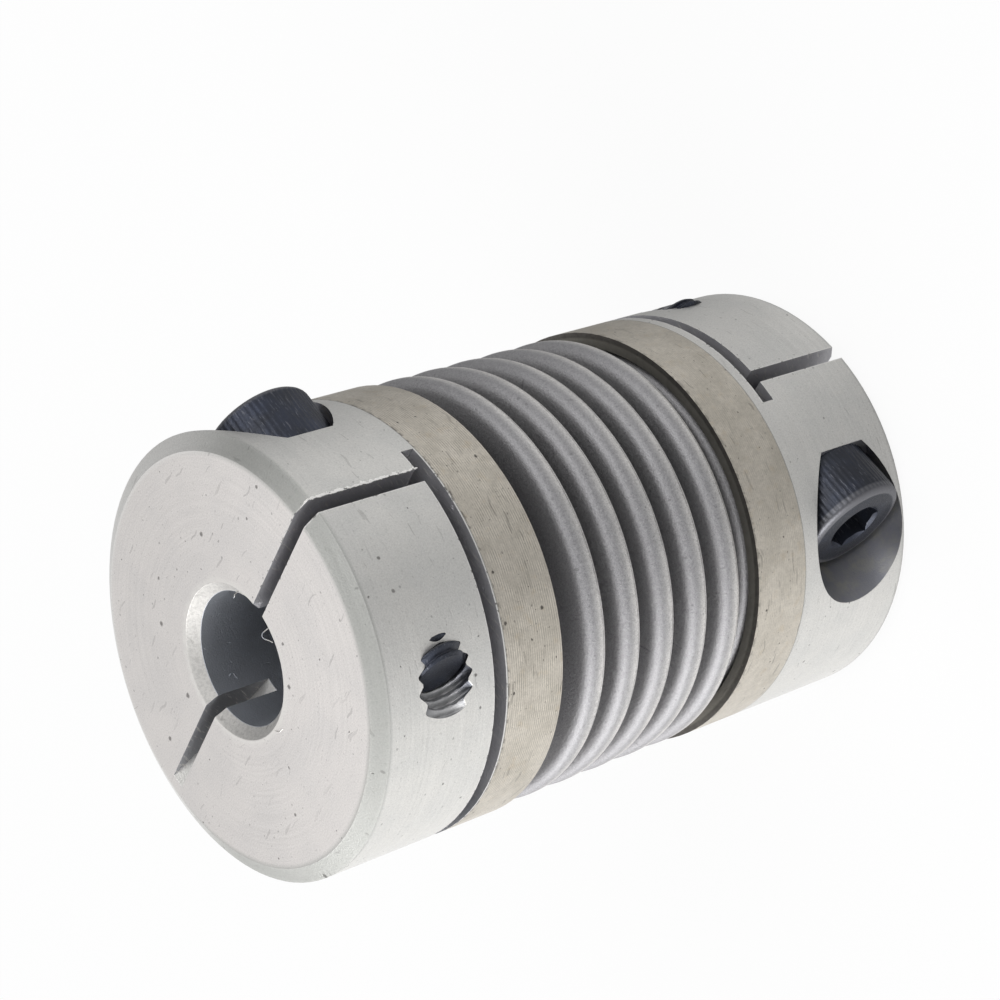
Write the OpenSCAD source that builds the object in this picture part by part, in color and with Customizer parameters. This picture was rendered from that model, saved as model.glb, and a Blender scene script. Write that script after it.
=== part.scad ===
/* [Coupling] */
// Outer diameter of the hubs and collars
body_d = 21; // [20.5:0.1:24]
// Length from one end face to the other
total_l = 34; // [32:0.1:40]
// Length of the chamfer round each end face, along the axis
edge_chamfer_l = 0.45; // [0.2:0.05:0.8]
// Width of the same chamfer across the end face
edge_chamfer_w = 0.8; // [0.3:0.05:1.2]

/* [Hubs] */
// Diameter of the shaft bore
bore_d = 6.35; // [4:0.05:8]
// Size of the chamfer round the mouth of the bore
bore_chamfer = 0.5; // [0.2:0.05:1]
// Length of the split clamp, from the end face to the far wall of the cross slit
clamp_l = 7.05; // [6.8:0.05:8]
// Width of the slit that runs along the axis
slit_w = 0.75; // [0.4:0.05:1.2]
// Thickness of the web that joins the two jaws at the end face, opposite the slit's mouth
web_t = 1.4; // [1:0.1:3]
// Radius of the saw, whose round edge leaves the slit shallower towards the web
saw_r = 40; // [30:1:60]
// Width of the cross slit that frees the tapped jaw
cross_w = 0.7; // [0.4:0.05:1]
// How far the cross slit runs past the plane of the other slit
cross_past = 1.5; // [0.8:0.1:2.5]
// Bare rim of hub between the cross slit and the front collar
front_rim = 0.1; // [0.1:0.05:1]
// Bare rim of hub between the cross slit and the rear collar
rear_rim = 0.6; // [0.1:0.05:1]
// Diameter of the spigot that carries the bellows and the collar
spigot_d = 14; // [12:0.1:15]
// Size of the chamfer at the inner end of the spigot
spigot_chamfer = 0.4; // [0.2:0.05:0.8]

/* [Collars] */
// Width of a collar along the axis
collar_w = 3.25; // [2.5:0.05:4]
// Thickness of the lip round the end convolution
lip_t = 0.7; // [0.5:0.05:1.2]

/* [Bellows] */
// Number of full convolutions between the collars
convolutions = 5; // [3:1:7]
// Thickness of the bellows wall
bellows_wall = 0.15; // [0.1:0.01:0.25]
// How far the full convolutions lie below the outer surface of the hubs
crest_drop = 0.1; // [0.1:0.05:0.6]
// Radial gap between an end convolution and the lip of its collar
lip_gap = 0.2; // [0.1:0.05:0.4]
// How far the middle of the front end convolution lies inside its collar
front_inset = -0.15; // [-0.3:0.05:0.6]
// How far the middle of the rear end convolution lies inside its collar
rear_inset = 0.55; // [-0.3:0.05:0.8]
// Middle radius of the bend between a cuff and its end convolution
cuff_bend = 0.3; // [0.2:0.05:0.5]

/* [Clamp screws] */
// Outer diameter of the thread
screw_d = 3; // [2:0.5:3]
// Length of a screw under its head
screw_l = 12; // [10:0.5:14]
// Diameter of a screw head
head_d = 5.5; // [4.5:0.1:5.8]
// Height of a screw head
head_h = 3; // [2:0.1:3.2]
// Size of the edge break at the top of a head
head_edge = 0.3; // [0.1:0.05:0.5]
// Width across the flats of the hexagon socket
socket_w = 2.5; // [1.5:0.1:3]
// Depth of the hexagon socket
socket_h = 1.3; // [0.8:0.1:1.8]
// Size of the countersink at the mouth of the socket
socket_chamfer = 0.15; // [0.05:0.05:0.4]
// Size of the chamfer at the tip of a screw
tip_chamfer = 0.25; // [0.1:0.05:0.4]
// Distance from the outer surface of a hub in to its screw's axis
screw_edge = 3.8; // [3.5:0.1:4.1]
// Distance from the far wall of the cross slit back to the screw's axis
screw_back = 3.4; // [3.3:0.05:3.6]
// Distance from the slit's plane to the seat of the front screw head
front_seat = 4.4; // [4:0.05:5]
// Distance from the slit's plane to the seat of the rear screw head
rear_seat = 4.6; // [4:0.05:5]

/* [Clearances] */
// Radial gap round a screw head in its counterbore
head_gap = 0.35; // [0.1:0.05:0.4]
// Radial gap round the shank in the jaw under the head
shank_gap = 0.15; // [0.1:0.05:0.4]
// Radial gap round the shank in the tapped jaw
thread_gap = 0.03; // [0.01:0.01:0.1]
// Film of adhesive on each side of a bellows cuff
bond_gap = 0.02; // [0.01:0.01:0.05]

/* [Hidden] */
$fn = 96;
// Cutting solids run this far past the faces that they open
past = 1;
// Steps in half a turn of a bellows bend
bend_steps = 10;

aluminium = [0.80, 0.80, 0.77];
collar_steel = [0.65, 0.62, 0.56];
bellows_steel = [0.72, 0.72, 0.73];
black_oxide = [0.17, 0.18, 0.21];

body_r = body_d / 2;
bore_r = bore_d / 2;
spigot_r = spigot_d / 2;
screw_r = screw_d / 2;
head_r = head_d / 2;
socket_r = socket_w / 2 / cos(30);
cuff_r = spigot_r + bond_gap;
collar_bore_r = cuff_r + bellows_wall + bond_gap;
recess_r = body_r - lip_t;
screw_x = body_r - screw_edge;
screw_z = clamp_l - screw_back;
// The saw's edge is deepest here, and comes out of the end face at the web
saw_x = web_t - body_r + sqrt(clamp_l * (2 * saw_r - clamp_l));

// Heights of the collars' inner faces above the rear end face
rear_collar_face = clamp_l + rear_rim + collar_w;
front_collar_face = total_l - clamp_l - front_rim - collar_w;
// The end convolutions lie one pitch from the full ones, with bends that fill the pitch
first_crest = rear_collar_face - rear_inset;
last_crest = front_collar_face + front_inset;
pitch = (last_crest - first_crest) / (convolutions + 1);
bend = pitch / 4;
crest_r = body_r - crest_drop;
end_crest_r = recess_r - lip_gap;

function collar_start(rim) = clamp_l + rim;
function collar_end(rim) = clamp_l + rim + collar_w;
function recess_depth(inset) = inset + bend + bellows_wall / 2 + bond_gap;

module hub(rim, seat) {
    shoulder = collar_start(rim);
    end = collar_end(rim);
    difference() {
        rotate_extrude() polygon([
            [0, 0],
            [body_r - edge_chamfer_w, 0],
            [body_r, edge_chamfer_l],
            [body_r, shoulder],
            [spigot_r, shoulder],
            [spigot_r, end - spigot_chamfer],
            [spigot_r - spigot_chamfer, end],
            [0, end]
        ]);
        bore(end);
        slits();
        screw_hole(seat);
    }
}

module bore(end) {
    translate([0, 0, -past]) cylinder(r = bore_r, h = end + 2 * past);
    translate([0, 0, -past])
        cylinder(r1 = bore_r + bore_chamfer + past, r2 = bore_r, h = bore_chamfer + past);
}

// One slit along the axis parts the jaws, and the cross slit frees the tapped one
module slits() {
    translate([0, -slit_w / 2, -past])
        cube([body_r + past, slit_w, clamp_l + past]);
    translate([saw_x, slit_w / 2, clamp_l - saw_r]) rotate([90, 0, 0])
        cylinder(r = saw_r, h = slit_w, $fn = 360);
    translate([-body_r - past, -cross_past, clamp_l - cross_w])
        cube([2 * (body_r + past), body_r + cross_past + past, cross_w]);
}

// Counterbore and clearance hole in the head's jaw, and the tapped hole in the other
module screw_hole(seat) {
    along_screw() {
        translate([0, 0, seat])
            cylinder(r = head_r + head_gap, h = body_r - seat + past);
        cylinder(r = screw_r + shank_gap, h = seat + past);
        translate([0, 0, -body_r - past])
            cylinder(r = screw_r + thread_gap, h = body_r + 2 * past);
    }
}

// Places its children on the screw's axis, with +Z towards the head, across the slit
module along_screw() {
    translate([screw_x, 0, screw_z]) rotate([90, 0, 0]) children();
}

module collar(rim, inset) {
    start = collar_start(rim);
    face = collar_end(rim);
    floor_z = face - recess_depth(inset);
    rotate_extrude() polygon([
        [collar_bore_r, start],
        [body_r, start],
        [body_r, face],
        [recess_r, face],
        [recess_r, floor_z],
        [collar_bore_r + cuff_bend, floor_z],
        [collar_bore_r, floor_z - cuff_bend]
    ]);
}

module clamp_screw(seat) {
    along_screw() difference() {
        union() {
            translate([0, 0, seat]) screw_head();
            rotate_extrude() polygon([
                [0, seat - screw_l],
                [screw_r - tip_chamfer, seat - screw_l],
                [screw_r, seat - screw_l + tip_chamfer],
                [screw_r, seat + head_h / 4],
                [0, seat + head_h / 4]
            ]);
        }
        translate([0, 0, seat + head_h - socket_h])
            cylinder(r = socket_r, h = socket_h + past, $fn = 6);
        translate([0, 0, seat + head_h - socket_chamfer])
            cylinder(r1 = socket_r, r2 = socket_r + socket_chamfer + past, h = socket_chamfer + past);
    }
}

module screw_head() {
    rotate_extrude() polygon([
        [0, 0],
        [head_r, 0],
        [head_r, head_h - head_edge],
        [head_r - head_edge * 0.3, head_h - head_edge * 0.3],
        [head_r - head_edge, head_h],
        [0, head_h]
    ]);
}

// Points of a crest, where side is the distance from the middle of the wall
function crest(z, top, side) = [
    for (i = [0 : bend_steps]) let (a = 180 * i / bend_steps - 90)
        [top - bellows_wall / 2 - bend + (bend + side) * cos(a), z + (bend + side) * sin(a)]
];

// Points of the root between two crests
function root(z, side) = [
    for (i = [0 : bend_steps]) let (a = 180 * i / bend_steps - 90)
        [cuff_r + bellows_wall / 2 + bend - (bend - side) * cos(a), z + (bend - side) * sin(a)]
];

// Points of the quarter bend out of a cuff, where way is 1 at the rear and -1 at the front
function cuff_turn(z, side, way) = [
    for (i = [0 : bend_steps / 2]) let (a = 180 * i / bend_steps)
        [cuff_r + bellows_wall / 2 + cuff_bend - (cuff_bend - side) * cos(a),
         z - way * (bend + cuff_bend - (cuff_bend - side) * sin(a))]
];

function reversed(points) = [for (i = [len(points) - 1 : -1 : 0]) points[i]];

function crest_z(i) = first_crest + i * pitch;
function crest_top(i) = i == 0 || i == convolutions + 1 ? end_crest_r : crest_r;

// One face of the wall from the rear cuff to the front cuff
function wall_face(side) = concat(
    [[cuff_r + bellows_wall / 2 + side, collar_start(rear_rim) + bond_gap]],
    cuff_turn(first_crest, side, 1),
    [for (i = [0 : convolutions]) each concat(
        crest(crest_z(i), crest_top(i), side),
        root(crest_z(i) + pitch / 2, side))],
    crest(last_crest, end_crest_r, side),
    reversed(cuff_turn(last_crest, side, -1)),
    [[cuff_r + bellows_wall / 2 + side, total_l - collar_start(front_rim) - bond_gap]]
);

module bellows() {
    color(bellows_steel) rotate_extrude()
        polygon(concat(wall_face(bellows_wall / 2), reversed(wall_face(-bellows_wall / 2))));
}

// The front end is the rear end turned over about the line through both slits' mouths
module front_end() {
    translate([0, 0, total_l]) rotate([180, 0, 0]) children();
}

module front_hub() {
    color(aluminium) front_end() hub(front_rim, front_seat);
}

module rear_hub() {
    color(aluminium) hub(rear_rim, rear_seat);
}

module front_collar() {
    color(collar_steel) front_end() collar(front_rim, front_inset);
}

module rear_collar() {
    color(collar_steel) collar(rear_rim, rear_inset);
}

module front_clamp_screw() {
    color(black_oxide) front_end() clamp_screw(front_seat);
}

module rear_clamp_screw() {
    color(black_oxide) clamp_screw(rear_seat);
}

front_hub();
rear_hub();
front_collar();
rear_collar();
bellows();
front_clamp_screw();
rear_clamp_screw();
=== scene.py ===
import math

import bpy
from mathutils import Matrix, Vector


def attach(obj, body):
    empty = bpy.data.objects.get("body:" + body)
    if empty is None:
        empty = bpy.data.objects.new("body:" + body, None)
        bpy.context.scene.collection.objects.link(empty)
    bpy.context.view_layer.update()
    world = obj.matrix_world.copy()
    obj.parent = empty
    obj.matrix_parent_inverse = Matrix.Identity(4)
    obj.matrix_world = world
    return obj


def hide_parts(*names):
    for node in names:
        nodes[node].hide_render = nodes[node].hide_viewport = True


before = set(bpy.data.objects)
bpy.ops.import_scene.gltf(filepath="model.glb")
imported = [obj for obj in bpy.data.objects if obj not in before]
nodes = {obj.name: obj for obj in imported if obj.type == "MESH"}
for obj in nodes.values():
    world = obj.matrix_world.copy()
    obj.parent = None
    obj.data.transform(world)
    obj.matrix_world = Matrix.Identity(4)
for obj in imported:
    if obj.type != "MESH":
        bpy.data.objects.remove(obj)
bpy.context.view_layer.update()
mm = 0.001

# places on the coupling that the finishes and the small pieces share, in mm
coupling = {
    "length": 34.0,
    "bodyRadius": 10.5,
    "boreRadius": 3.175,
    "boreChamfer": 0.5,
    "slitHalf": 0.375,
    "clampLength": 7.05,
    "crossWidth": 0.7,
    "crossPast": 1.5,
    "collarEnd": 10.95,
    "screwX": 6.7,
    "screwDepth": 3.65,
    "counterboreRadius": 3.13,
    "tappedRadius": 1.6,
    "frontSeat": 4.4,
    "rearSeat": 4.6,
}


view = {
    "lens": 99.018,
    "place": (91.1471, -52.1446, 100.3324),
    "right": (0.35274, -0.5632, -0.74725),
    "up": (0.65756, 0.71735, -0.23026),
    "back": (0.66572, -0.41014, 0.62337),
}


def makeCamera():
    data = bpy.data.cameras.new("photoCamera")
    data.lens = view["lens"]
    data.sensor_width = 36
    data.clip_start = 0.01
    data.clip_end = 10
    camera = bpy.data.objects.new("photoCamera", data)
    bpy.context.scene.collection.objects.link(camera)
    columns = Matrix((view["right"], view["up"], view["back"])).transposed()
    camera.matrix_world = Matrix.Translation(Vector(view["place"]) * mm) @ columns.to_4x4()
    bpy.context.scene.camera = camera
    bpy.context.scene.view_settings.view_transform = "Standard"


lamps = {
    # name: (direction it stands in, distance, size, power)
    "windowLamp": ((-0.32, -0.92, 0.3), 0.55, 0.50, 2.3),
    "frontLamp": ((0.75, 0.30, 0.9), 0.60, 0.45, 1.1),
    "sideLamp": ((-0.9, -0.6, 0.3), 0.60, 0.45, 1.2),
}


def makeLamps():
    middle = Vector((0, 0, coupling["length"] / 2 * mm))
    for name, (way, distance, size, energy) in lamps.items():
        data = bpy.data.lights.new(name, "AREA")
        data.shape = "DISK"
        data.size = size
        data.energy = energy
        lamp = bpy.data.objects.new(name, data)
        bpy.context.scene.collection.objects.link(lamp)
        lamp.location = middle + Vector(way).normalized() * distance
        lamp.rotation_euler = (middle - lamp.location).to_track_quat("-Z", "Y").to_euler()


room = {
    "sky": (0.97, 0.985, 1, 1),
    "skyStrength": 0.5,
    "floor": (0.9, 0.9, 0.9, 1),
    "floorHalf": 0.6,
    "floorWhite": 0.92,
    # a painted shadow in the floor's white that the metal sees, close by on the far side of the coupling: how
    # near in m, and how much
    "shadeEnd": 0.032,
    "shadeFull": 0.014,
    "shadeSide": 0.008,
    "shadeDepth": 0.36,
}

cardShades = [
    # (direction in degrees round the coupling, how bright the metal sees the room there)
    (-180, 1.0), (-90, 1.0), (-64, 0.86), (-42, 0.45), (-18, 0.43), (2, 0.60), (24, 0.86), (44, 0.84),
    (62, 0.54), (84, 0.32), (106, 0.30), (126, 0.52), (148, 0.9), (180, 0.94),
]


def whiteForViewer(tree, shader, white, share):
    # what the camera and the metal see is white, and the rest gets the shader's own light
    path = tree.nodes.new("ShaderNodeLightPath").outputs
    seen = larger(tree, path["Is Camera Ray"], larger(tree, path["Is Glossy Ray"], path["Is Transmission Ray"]))
    return addNode(tree, "ShaderNodeMixShader", {0: times(tree, seen, share), 1: shader, 2: white}).outputs[0]


def roomShade(tree, across, along):
    # how bright metal sees the room, by the direction round the coupling
    angle = mathNode(tree, "ARCTAN2", along, across)
    part = timesPlus(tree, angle, 0.5 / math.pi, 0.5)
    ramp = addNode(tree, "ShaderNodeValToRGB", {0: part})
    ramp.color_ramp.interpolation = "B_SPLINE"
    stops = ramp.color_ramp.elements
    while len(stops) > 1:
        stops.remove(stops[0])
    for i, (degrees, level) in enumerate(cardShades):
        stop = stops[0] if i == 0 else stops.new(degrees / 360 + 0.5)
        stop.position = degrees / 360 + 0.5
        stop.color = (level, level, level, 1)
    path = tree.nodes.new("ShaderNodeLightPath")
    return larger(tree, path.outputs["Is Camera Ray"], ramp.outputs[0])


def makeWorld():
    world = bpy.data.worlds.new("studio")
    bpy.context.scene.world = world
    world.use_nodes = True
    tree = world.node_tree
    tree.nodes.clear()
    way = splitUp(tree, tree.nodes.new("ShaderNodeTexCoord").outputs["Generated"])
    soft = addNode(tree, "ShaderNodeBackground", {"Color": room["sky"], "Strength": room["skyStrength"]})
    white = addNode(tree, "ShaderNodeBackground", {
        "Color": (1, 1, 1, 1), "Strength": roomShade(tree, way[0], way[1])})
    addNode(tree, "ShaderNodeOutputWorld", {0: whiteForViewer(tree, soft.outputs[0], white.outputs[0], 1.0)})


def makeFloor():
    mesh = bpy.data.meshes.new("floor")
    half = room["floorHalf"]
    mesh.from_pydata([(-half, -half, 0), (half, -half, 0), (half, half, 0), (-half, half, 0)], [], [(0, 1, 2, 3)])
    floor = bpy.data.objects.new("floor", mesh)
    bpy.context.scene.collection.objects.link(floor)
    material = bpy.data.materials.new("whiteCard")
    material.use_nodes = True
    tree = material.node_tree
    tree.nodes.clear()
    x, y = splitUp(tree, tree.nodes.new("ShaderNodeTexCoord").outputs["Object"])[:2]
    # painted shadow: close to the coupling on its far side the floor's white is darker, for the metal but not the
    # camera
    near = times(tree, smooth(tree, lengthOf(tree, x, y), room["shadeEnd"], room["shadeFull"]),
                 smooth(tree, y, 0.0, room["shadeSide"]))
    path = tree.nodes.new("ShaderNodeLightPath")
    near = times(tree, near, minus(tree, 1.0, path.outputs["Is Camera Ray"]))
    shade = times(tree, roomShade(tree, x, y), timesPlus(tree, near, -room["shadeDepth"], 1.0))
    card = addNode(tree, "ShaderNodeBsdfDiffuse", {"Color": room["floor"]})
    white = addNode(tree, "ShaderNodeEmission", {"Color": (1, 1, 1, 1), "Strength": shade})
    mixed = whiteForViewer(tree, card.outputs[0], white.outputs[0], room["floorWhite"])
    addNode(tree, "ShaderNodeOutputMaterial", {0: mixed})
    mesh.materials.append(material)


def put(tree, socket, value):
    # a socket takes a number, a few numbers or the end of another node
    if isinstance(value, (int, float, tuple)):
        socket.default_value = value
    elif value is not None:
        tree.links.new(value, socket)


def addNode(tree, kind, values, **settings):
    # values go into the sockets, settings onto the node itself
    node = tree.nodes.new(kind)
    for name, setting in settings.items():
        setattr(node, name, setting)
    for socket, value in values.items():
        put(tree, node.inputs[socket], value)
    return node


def mathNode(tree, operation, *values):
    return addNode(tree, "ShaderNodeMath", dict(enumerate(values)), operation=operation).outputs[0]


def mathOf(operation):
    return lambda tree, *values: mathNode(tree, operation, *values)


plus, minus, times, over = (mathOf(kind) for kind in ("ADD", "SUBTRACT", "MULTIPLY", "DIVIDE"))
timesPlus, power, root, absolute = (mathOf(kind) for kind in ("MULTIPLY_ADD", "POWER", "SQRT", "ABSOLUTE"))
larger, smaller, above, under = (mathOf(kind) for kind in ("MAXIMUM", "MINIMUM", "GREATER_THAN", "LESS_THAN"))


def product(tree, *values):
    result = values[0]
    for value in values[1:]:
        result = times(tree, result, value)
    return result


def lengthOf(tree, x, y):
    return root(tree, plus(tree, power(tree, x, 2.0), power(tree, y, 2.0)))


def splitUp(tree, vector):
    return addNode(tree, "ShaderNodeSeparateXYZ", {0: vector}).outputs


def combine(tree, x, y, z):
    return addNode(tree, "ShaderNodeCombineXYZ", {0: x, 1: y, 2: z}).outputs[0]


def scaleBy(tree, vector, factor):
    return addNode(tree, "ShaderNodeVectorMath", {0: vector, "Scale": factor}, operation="SCALE").outputs[0]


def shiftBy(tree, vector, x, y=0.0):
    return addNode(tree, "ShaderNodeVectorMath", {0: vector, 1: combine(tree, x, y, 0.0)}).outputs[0]


def smooth(tree, value, start, end):
    # 0 up to start and 1 from end on
    return addNode(tree, "ShaderNodeMapRange", {"Value": value, "From Min": start, "From Max": end},
                   interpolation_type="SMOOTHSTEP").outputs[0]


def band(tree, value, low, high, soft):
    # 1 between low and high, with soft edges
    return minus(tree, smooth(tree, value, low - soft, low + soft), smooth(tree, value, high - soft, high + soft))


def blend(tree, amount, first, second, kind="MIX"):
    first, second = ((*colour, 1) if isinstance(colour, tuple) else colour for colour in (first, second))
    return addNode(tree, "ShaderNodeMix", {0: amount, 6: first, 7: second},
                   data_type="RGBA", blend_type=kind).outputs[2]


def dimmed(tree, colour, level):
    grey = addNode(tree, "ShaderNodeCombineColor", {0: level, 1: level, 2: level}).outputs[0]
    return blend(tree, 1.0, colour, grey, "MULTIPLY")


def noise(tree, vector, scale, detail=2, roughness=0.5):
    return addNode(tree, "ShaderNodeTexNoise", {
        "Vector": vector, "Scale": scale, "Detail": detail, "Roughness": roughness}).outputs[0]


def flatCells(tree, vector, scale):
    # how far the middle of the nearest cell is, and that cell's three random numbers
    cells = addNode(tree, "ShaderNodeTexVoronoi", {"Vector": vector, "Scale": scale},
                    voronoi_dimensions="2D").outputs
    return cells["Distance"], addNode(tree, "ShaderNodeSeparateColor", {0: cells["Color"]}).outputs


def inMillimetres(tree):
    place = scaleBy(tree, tree.nodes.new("ShaderNodeTexCoord").outputs["Object"], 1 / mm)
    return place, splitUp(tree, place)


def flatFace(tree):
    # the way the surface looks, and 1 where that is along the axis
    way = tree.nodes.new("ShaderNodeNewGeometry").outputs["True Normal"]
    return way, above(tree, absolute(tree, splitUp(tree, way)[2]), 0.9)


def unrolled(tree, x, y, z, flat, shift=0.0):
    # end faces as seen from the end and round sides rolled out flat, so that marks keep their size
    apart = 90.0  # keeps the marks of the faces off those of the sides
    around = times(tree, mathNode(tree, "ARCTAN2", y, x), coupling["bodyRadius"])
    across = timesPlus(tree, flat, minus(tree, plus(tree, x, apart), around), around)
    along = timesPlus(tree, flat, minus(tree, y, z), z)
    return combine(tree, plus(tree, across, shift), plus(tree, along, shift), 0.0)


def depthIn(tree, z):
    # how far a point is from the nearer end
    return smaller(tree, z, minus(tree, coupling["length"], z))


def offScrewAxis(tree, x, depth):
    return lengthOf(tree, minus(tree, x, coupling["screwX"]), minus(tree, depth, coupling["screwDepth"]))


def shaderGroup(name, ins, outs):
    tree = bpy.data.node_groups.new(name, "ShaderNodeTree")
    for label, value in ins.items():
        kind = "NodeSocketVector" if value is None else "NodeSocketFloat"
        socket = tree.interface.new_socket(name=label, in_out="INPUT", socket_type=kind)
        if value is not None:
            socket.default_value = value
    for label in outs:
        tree.interface.new_socket(name=label, in_out="OUTPUT", socket_type="NodeSocketFloat")
    return tree, tree.nodes.new("NodeGroupInput").outputs, tree.nodes.new("NodeGroupOutput").inputs


def useGroup(tree, group, **values):
    return addNode(tree, "ShaderNodeGroup", values, node_tree=group).outputs


def makeSpecks():
    # dark pits and grit: a few cells of a flat pattern hold one ragged spot each
    tree, ins, outs = shaderGroup("specks", {"Place": None, "Cells": 1.0, "Share": 0.3, "Size": 0.1}, ["Mask"])
    ragged = timesPlus(tree, noise(tree, ins["Place"], 7.0, 2), 0.16, -0.08)
    distance, picks = flatCells(tree, shiftBy(tree, ins["Place"], ragged), ins["Cells"])
    chosen = under(tree, picks[0], ins["Share"])
    # most spots are small and a few are large
    spread = power(tree, picks[1], 2.5)
    size = times(tree, ins["Size"], timesPlus(tree, spread, 0.85, 0.3))
    inside = over(tree, minus(tree, size, distance), times(tree, size, 0.5))
    limited = addNode(tree, "ShaderNodeClamp", {0: inside}).outputs[0]
    put(tree, outs["Mask"], times(tree, chosen, limited))
    return tree


def makeScratches():
    # short bent lines that lie every way, one in some of the cells of a stretched pattern
    tree, ins, outs = shaderGroup("scratches", {"Place": None, "Share": 0.3, "Width": 0.03}, ["Mask"])
    bend = noise(tree, ins["Place"], 0.9, 1)
    bent = shiftBy(tree, ins["Place"], times(tree, bend, 0.9), times(tree, bend, -0.6))
    total = None
    for i, turn in enumerate((0.5, 1.3, 2.2, 2.9)):
        lay = addNode(tree, "ShaderNodeMapping", {
            "Vector": bent, "Rotation": (0, 0, turn), "Location": (i * 3.7, i * 5.1, 0), "Scale": (0.34, 2.6, 1)})
        distance, picks = flatCells(tree, lay.outputs[0], 0.6)
        chosen = under(tree, picks[0], ins["Share"])
        thin = under(tree, distance, times(tree, ins["Width"], plus(tree, picks[1], 0.4)))
        line = product(tree, chosen, thin, timesPlus(tree, picks[2], 0.7, 0.3))
        total = line if total is None else larger(tree, total, line)
    put(tree, outs["Mask"], total)
    return tree


def makeTurnedLines():
    # tool marks of the lathe: fine lines across Along that fade in and out round the part
    tree, ins, outs = shaderGroup("turnedLines", {"Place": None, "Along": 0.0, "Lines": 8.0}, ["Height", "Fade"])
    slow = scaleBy(tree, ins["Place"], 0.12)
    lines = noise(tree, shiftBy(tree, slow, times(tree, ins["Along"], ins["Lines"])), 1.0, 2, 0.6)
    put(tree, outs["Height"], lines)
    put(tree, outs["Fade"], smooth(tree, noise(tree, ins["Place"], 0.16, 1), 0.38, 0.62))
    return tree


def makeGrain():
    # blasted or tumbled skin: fine grains, and soft clouds where it took the light differently
    tree, ins, outs = shaderGroup("grain", {"Place": None, "Grains": 14.0, "Clouds": 0.5}, ["Fine", "Cloud"])
    put(tree, outs["Fine"], noise(tree, ins["Place"], ins["Grains"], 2))
    put(tree, outs["Cloud"], noise(tree, ins["Place"], ins["Clouds"], 4))
    return tree


def makeHubPlaces():
    # where a point lies on a hub: walls of the slits, bore, counterbore, and the sawn edges
    c = coupling
    tree, ins, outs = shaderGroup("hubPlaces", {"Place": None, "Way": None}, [
        "Walls", "Bore", "Counterbore", "Tapped", "Sawn Edge", "Burr", "Countersink", "Frosted", "Chamfer",
        "Joint", "Depth", "Radius"])
    x, y, z = splitUp(tree, ins["Place"])
    way = splitUp(tree, ins["Way"])
    acrossSlit = above(tree, absolute(tree, way[1]), 0.9)
    alongAxis = above(tree, absolute(tree, way[2]), 0.9)
    depth = depthIn(tree, z)
    # the front hub is the rear one turned over, so its y changes sign
    front = above(tree, z, c["length"] / 2)
    side = times(tree, y, timesPlus(tree, front, -2.0, 1.0))
    radius = lengthOf(tree, x, y)
    offSlit = absolute(tree, y)
    inside = under(tree, radius, c["bodyRadius"] - 0.02)
    outside = above(tree, radius, c["bodyRadius"] - 0.5)

    crossStart = c["clampLength"] - c["crossWidth"]
    slitWall = times(tree, under(tree, offSlit, c["slitHalf"] + 0.01), acrossSlit)
    crossWall = product(tree, alongAxis, above(tree, depth, crossStart - 0.02),
                        under(tree, depth, c["clampLength"] + 0.02))
    crossEnd = product(tree, above(tree, depth, crossStart), under(tree, depth, c["clampLength"]),
                       acrossSlit, inside)
    put(tree, outs["Walls"], larger(tree, slitWall, larger(tree, crossWall, crossEnd)))
    put(tree, outs["Bore"], under(tree, radius, c["boreRadius"] + 0.015))
    offScrew = offScrewAxis(tree, x, depth)
    put(tree, outs["Counterbore"], product(
        tree, under(tree, offScrew, c["counterboreRadius"]), under(tree, side, -0.5), inside))
    put(tree, outs["Tapped"], product(
        tree, under(tree, offScrew, c["tappedRadius"]), above(tree, side, 0.2), inside))

    # lips along the sawn edges, on the outer surface, and the ragged burr that the saw left on one of them
    beside = times(tree, above(tree, x, 3.0), under(tree, depth, c["clampLength"] - 0.1))
    lipLong = times(tree, band(tree, offSlit, c["slitHalf"] - 0.05, c["slitHalf"] + 0.05, 0.02), beside)
    torn = timesPlus(tree, noise(tree, ins["Place"], 2.3, 4, 0.7), 0.75, -0.27)
    put(tree, outs["Burr"], product(tree, under(tree, minus(tree, offSlit, c["slitHalf"]), torn), beside, front,
                                    above(tree, y, 0.0), outside))
    crossHere = above(tree, side, -c["crossPast"] - 0.05)
    lipFar = band(tree, depth, c["clampLength"] - 0.05, c["clampLength"] + 0.08, 0.02)
    lipNear = band(tree, depth, crossStart - 0.05, crossStart + 0.05, 0.02)
    lipAcross = product(tree, larger(tree, lipFar, lipNear), crossHere, outside)
    put(tree, outs["Sawn Edge"], larger(tree, lipLong, lipAcross))

    # the countersink and the edge chamfer run softly into the faces beside them
    sinkEdge = c["boreRadius"] + c["boreChamfer"]
    frayed = timesPlus(tree, noise(tree, ins["Place"], 3.0, 4, 0.7), 0.9, minus(tree, radius, 0.45))
    nearFace = smooth(tree, depth, c["boreChamfer"] + 0.05, c["boreChamfer"] - 0.02)
    put(tree, outs["Countersink"], times(tree, smooth(tree, radius, sinkEdge + 0.05, sinkEdge - 0.05), nearFace))
    put(tree, outs["Frosted"], times(tree, smooth(tree, frayed, sinkEdge + 0.40, sinkEdge - 0.05), nearFace))
    put(tree, outs["Chamfer"], times(tree, smooth(tree, radius, 9.42, 9.8), smooth(tree, depth, 0.66, 0.36)))
    # the dark line where the collar meets the hub lies half a millimetre apart on the two
    shoulder = timesPlus(tree, front, -0.5, c["clampLength"] + 0.6)
    offJoint = absolute(tree, minus(tree, depth, shoulder))
    put(tree, outs["Joint"], minus(tree, 1.0, smooth(tree, offJoint, 0.0, 0.06)))
    put(tree, outs["Depth"], depth)
    put(tree, outs["Radius"], radius)
    return tree


def newMaterial(name):
    material = bpy.data.materials.new(name)
    material.use_nodes = True
    tree = material.node_tree
    return material, tree, tree.nodes["Principled BSDF"]


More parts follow.
